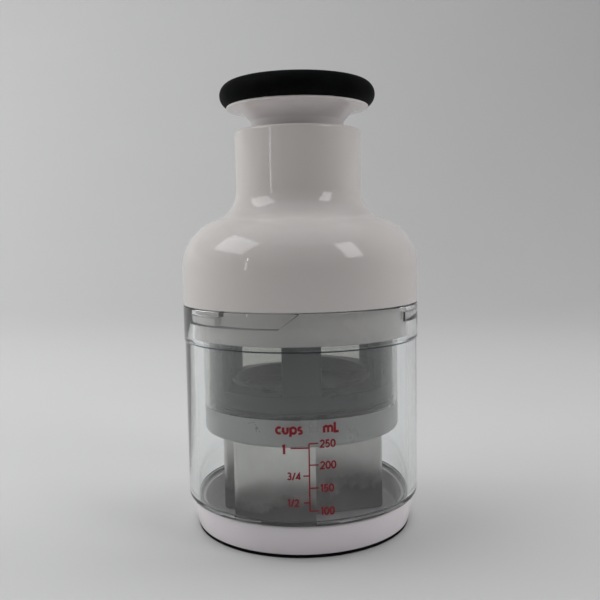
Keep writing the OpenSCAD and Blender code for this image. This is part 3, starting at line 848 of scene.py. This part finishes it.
# ---------------------------------------------------------------- spring
def spring_mesh(sides=12, rings=28):
    """Coil of round wire whose end turns lie closed on each other."""
    count = coil_turns * rings
    closed = closed_turns * rings
    lowest, highest = coil_z + wire_r, coil_top_z - wire_r
    start, end = lowest + closed_rise, highest - closed_rise
    verts = []
    for k in range(count + 1):
        a = 2 * math.pi * k / rings
        if k < closed:
            z = lowest + closed_rise * k / closed
        elif k > count - closed:
            z = highest - closed_rise * (count - k) / closed
        else:
            z = start + (end - start) * (k - closed) / (count - 2 * closed)
        for s in range(sides):
            w = 2 * math.pi * s / sides
            r = coil_r + wire_r * math.cos(w)
            verts.append((r * math.cos(a), r * math.sin(a), z + wire_r * math.sin(w)))
    return mesh_of("spring", verts, tube_faces(count + 1, sides))


spring = finish_mesh("spring", spring_mesh(), None, screw_steel, ["return_spring"])
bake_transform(spring)


# ---------------------------------------------------------------- scale printed on the cup
PRINT_RISE = 0.05       # thickness of the ink
PRINT_STEP = 0.4        # longest straight part of a stroke, so that it follows the cup


def dense_line(stroke):
    """Points of a stroke with more of them between, at most a print step apart."""
    out = [Vector(stroke[0])]
    for p in map(Vector, stroke[1:]):
        start = out[-1]
        parts = max(1, round((p - start).length / PRINT_STEP))
        out += [start + (p - start) * k / parts for k in range(1, parts + 1)]
    return out


def stroke_mesh(name, strokes, width):
    """Flat bands along strokes of (distance along the cup, height), laid on the cup's wall."""
    verts, faces = [], []
    for line in map(dense_line, strokes):
        first = len(verts)
        for i, p in enumerate(line):
            before = p - line[i - 1] if i else line[1] - p
            after = line[i + 1] - p if i < len(line) - 1 else before
            along = before.normalized() + after.normalized()
            along = along.normalized() if along.length > 1e-6 else before.normalized()
            stretch = 1 / max(0.5, along.dot(before.normalized()))
            across = Vector((-along.y, along.x)) * width / 2 * stretch
            for q, inner, outer in ((p + across, cup_r, cup_r + PRINT_RISE),
                                    (p - across, cup_r + PRINT_RISE, cup_r)):
                a = q.x / cup_r - math.pi / 2
                verts += [(r * math.cos(a), r * math.sin(a), q.y) for r in (inner, outer)]
        faces += [[first + v for v in face] for face in tube_faces(len(line), 4)]
    return mesh_of(name, verts, faces)


def bow(x, y, rx, ry, start, end, steps=14):
    """Stroke along an ellipse."""
    turn = [math.radians(start + (end - start) * k / steps) for k in range(steps + 1)]
    return [(x + rx * math.cos(a), y + ry * math.sin(a)) for a in turn]


# Each sign: its width and its strokes, in a box one unit high above the base line
SIGNS = {
    "0": (0.66, [bow(0.33, 0.5, 0.27, 0.46, 0, 360, 24)]),
    "1": (0.34, [[(0.02, 0.86), (0.22, 0.96), (0.22, 0.0)]]),
    "2": (0.62, [bow(0.3, 0.70, 0.24, 0.26, 165, -35) + [(0.06, 0.04), (0.58, 0.04)]]),
    "3": (0.60, [bow(0.27, 0.73, 0.21, 0.23, 150, -80) + bow(0.27, 0.27, 0.25, 0.25, 80, -150)]),
    "4": (0.66, [[(0.62, 0.24), (0.05, 0.24), (0.46, 0.96), (0.46, 0.0)]]),
    "5": (0.60, [[(0.52, 0.95), (0.16, 0.95), (0.1, 0.53)]
                 + bow(0.27, 0.32, 0.25, 0.27, 120, -140)]),
    "/": (0.46, [[(0.04, -0.08), (0.42, 1.02)]]),
    "c": (0.58, [bow(0.33, 0.33, 0.27, 0.30, 50, 310)]),
    "u": (0.64, [[(0.09, 0.64), (0.09, 0.26)] + bow(0.31, 0.26, 0.22, 0.23, 180, 360)
                 + [(0.53, 0.64)]]),
    "p": (0.72, [[(0.09, 0.64), (0.09, -0.3)], bow(0.37, 0.33, 0.27, 0.30, 0, 360, 24)]),
    "s": (0.48, [bow(0.23, 0.48, 0.15, 0.15, 40, 250) + bow(0.23, 0.18, 0.17, 0.16, 80, -140)]),
    "m": (0.98, [[(0.09, 0.0), (0.09, 0.62)],
                 bow(0.29, 0.42, 0.2, 0.2, 180, 0) + [(0.49, 0.0)],
                 bow(0.69, 0.42, 0.2, 0.2, 180, 0) + [(0.89, 0.0)]]),
    "L": (0.50, [[(0.09, 0.96), (0.09, 0.04), (0.48, 0.04)]]),
}


def words(text, x, z, size, gap=0.1):
    """Strokes of a text whose lower left corner is at distance x and height z."""
    out = []
    for sign in text:
        width, strokes = SIGNS[sign]
        out += [[(x + size * px, z + size * pz) for px, pz in stroke] for stroke in strokes]
        x += size * (width + gap)
    return out


SCALE_X = 2.2           # distance of the scale's upright from the cup's middle line
ML_TICK, CUP_TICK, WHOLE_CUP_TICK = 3.3, 2.2, 6.6
ML_X, ML_DROP, ML_SIZE = 6.1, 1.55, 2.7
ML_Z = {250: 43.6, 200: 35.8, 150: 27.4, 100: 19.0}
CUP_Z = {"1": 42.0, "3/4": 31.9, "1/2": 22.1}

scale_lines = [[(SCALE_X, ML_Z[250]), (SCALE_X, ML_Z[100])]]
scale_lines += [[(SCALE_X, z), (SCALE_X + ML_TICK, z)] for z in ML_Z.values()]
scale_lines += [[(SCALE_X - (WHOLE_CUP_TICK if mark == "1" else CUP_TICK), z), (SCALE_X, z)]
                for mark, z in CUP_Z.items()]
scale_words = (words("cups", -9.6, 47.2, 3.6, 0.08) + words("mL", 7.3, 47.4, 3.7, 0.08)
               + words("1", -7.4, 39.8, 3.2))
scale_numbers = words("3/4", -5.7, 30.6, 2.5) + words("1/2", -5.7, 20.8, 2.5)
for mark, z in ML_Z.items():
    scale_numbers += words(str(mark), ML_X, z - ML_DROP, ML_SIZE)
for name, strokes, width in (("scale_lines", scale_lines, 0.5),
                             ("scale_words", scale_words, 0.88),
                             ("scale_numbers", scale_numbers, 0.58)):
    finish_mesh(name, stroke_mesh(name, strokes, width), "cup", print_red)


# ---------------------------------------------------------------- finishes of the CAD's own pieces
FINISHES = {
    "base_seal": seal_rubber, "neck_bush": grey, "spring_seat": slate, "seat_screws": screw_steel,
    "index_crown": grey, "stripper_clip": sleeve_plastic, "stripper_disc": frosted,
    "knob_core": slate, "drive_plate": slate, "flange_screws": screw_steel,
    "leg_screws": screw_steel, "rotor_shaft": grey, "rotor_crown": grey,
    "crown_screw": screw_steel,
}
for node, material in FINISHES.items():
    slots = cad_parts[node].data.materials
    slots.clear()
    slots.append(material)


# ---------------------------------------------------------------- camera
def add_camera(side, distance, height, pitch, roll, focal_px, frame_px=600, sensor=36.0):
    """Camera in front of the object; its place in millimetres, its turns in degrees."""
    data = bpy.data.cameras.new("camera")
    data.sensor_width = sensor
    data.lens = sensor * focal_px / frame_px
    data.clip_start, data.clip_end = 0.01, 20
    camera = bpy.data.objects.new("camera", data)
    bpy.context.scene.collection.objects.link(camera)
    camera.location = (side * MM, -distance * MM, height * MM)
    look = (Matrix.Rotation(math.radians(90 - pitch), 4, "X")
            @ Matrix.Rotation(math.radians(roll), 4, "Z"))
    camera.rotation_euler = look.to_euler()
    bpy.context.scene.camera = camera


add_camera(side=-0.14, distance=306.4, height=118.4, pitch=5.23, roll=-0.95, focal_px=750)


# ---------------------------------------------------------------- studio, in metres
STUDIO_SIDES = (-0.9, 0.9)      # painted light: from the brighter left wall's paper to the darker right wall's
STUDIO_DEPTH = (-1.0, -0.25)    # painted shade: the paper darkens towards the viewer's side of the room
STUDIO_RISE = (0.02, 0.75)      # and painted light lightens it up the wall
STUDIO_REAR = (0.05, 0.7)       # and painted shade dims it a little towards the wall behind
# Colours of the painted light and shade on the paper, at the ends of the spans above
STUDIO_LEFT = (0.92, 0.92, 0.91)
STUDIO_RIGHT = (0.55, 0.545, 0.55)
STUDIO_FRONT = (0.22, 0.22, 0.22)
STUDIO_LOW = (0.80, 0.80, 0.80)
STUDIO_BACK = (0.80, 0.80, 0.80)
AIR_COLOR = (0.9, 0.93, 1.0, 1)
AIR_STRENGTH = 0.4


def studio_paper():
    """Paper with painted light and shade: its colour changes along X, Y and Z, over a fine mottle
    of its own.
    """
    n = Nodes("studio_paper")
    white = (1, 1, 1)
    place = n.add("SeparateXYZ", Vector=n.place)

    def along(axis, span, first, last):
        return n.tint(n.spread(place.outputs[axis], 0.0, 1.0, *span), first, last)

    mottle = n.tint(n.noise(6.0, 4.0), (0.97, 0.97, 0.97), white)
    sides = along("X", STUDIO_SIDES, STUDIO_LEFT, STUDIO_RIGHT)
    upright = n.times(mottle, along("Z", STUDIO_RISE, STUDIO_LOW, white))
    painted_depth_shade = n.times(along("Y", STUDIO_REAR, white, STUDIO_BACK),
                         along("Y", STUDIO_DEPTH, STUDIO_FRONT, white))
    n.set(Base_Color=n.times(sides, n.times(upright, painted_depth_shade)), Roughness=0.85,
          Specular_IOR_Level=0.2, Normal=n.bump(n.noise(900.0, 3.0), 0.05, 0.3))
    return n.material


def studio_bowl(floor=0.62, curve=0.98, height=2.2, steps=96):
    """Pale floor that runs up into a round wall, open at the top."""
    section = [(0, 0), (floor, 0)]
    section += [(floor + curve * math.sin(a), curve * (1 - math.cos(a)))
                for a in [math.pi / 2 * k / 48 for k in range(1, 49)]]
    section.append((floor + curve, height))
    verts, faces = [], []
    for r, z in section:
        for k in range(steps):
            a = 2 * math.pi * k / steps
            verts.append((r * math.cos(a), r * math.sin(a), z))
    for i in range(len(section) - 1):
        for k in range(steps):
            j = (k + 1) % steps
            corners = (steps * i + k, steps * i + j, steps * (i + 1) + j, steps * (i + 1) + k)
            faces.append(corners if i else (0, *corners[2:]))
    mesh = bpy.data.meshes.new("studio")
    mesh.from_pydata(verts, [], faces)
    mesh.shade_smooth()
    mesh.materials.append(studio_paper())
    bowl = bpy.data.objects.new("studio", mesh)
    bpy.context.scene.collection.objects.link(bowl)


def softbox(name, place, aim, size, power, color=(1, 1, 1), mirrored=True):
    """Rectangular soft light. It shows in gloss only if mirrored."""
    data = bpy.data.lights.new(name, "AREA")
    data.shape = "RECTANGLE"
    data.size, data.size_y = size
    data.energy = power
    data.color = color
    lamp = bpy.data.objects.new(name, data)
    bpy.context.scene.collection.objects.link(lamp)
    lamp.location = place
    lamp.visible_glossy = mirrored
    lamp.rotation_euler = (Vector(aim) - Vector(place)).to_track_quat("-Z", "Y").to_euler()


studio_bowl()
world = bpy.data.worlds.new("studio_air")
bpy.context.scene.world = world
world.use_nodes = True
air = world.node_tree.nodes["Background"]
air.inputs["Color"].default_value = AIR_COLOR
air.inputs["Strength"].default_value = AIR_STRENGTH
softbox("left_bank", (-1.1, 0.6, 0.75), (0, 0.3, 0.1), (1.0, 0.9), 5.2, (0.98, 1.0, 0.97), False)
softbox("right_bank", (1.1, 0.35, 0.65), (0, 0.1, 0.1), (0.8, 0.8), 4.3, (1.0, 0.985, 0.97), False)
softbox("overhead", (0, 0.5, 1.4), (0, 0.4, 0), (1.4, 1.2), 9.0, mirrored=False)
softbox("window_left", (-0.83, -0.16, 0.86), (0, 0, 0.12), (0.72, 0.52), 3.0)
softbox("window_right", (0.6, -0.435, 0.63), (0, 0, 0.12), (0.27, 0.46), 1.4)
softbox("slit_left", (-0.72, -0.6, 0.30), (0, 0, 0.14), (0.014, 0.40), 0.2)
bpy.context.scene.view_settings.view_transform = "Standard"
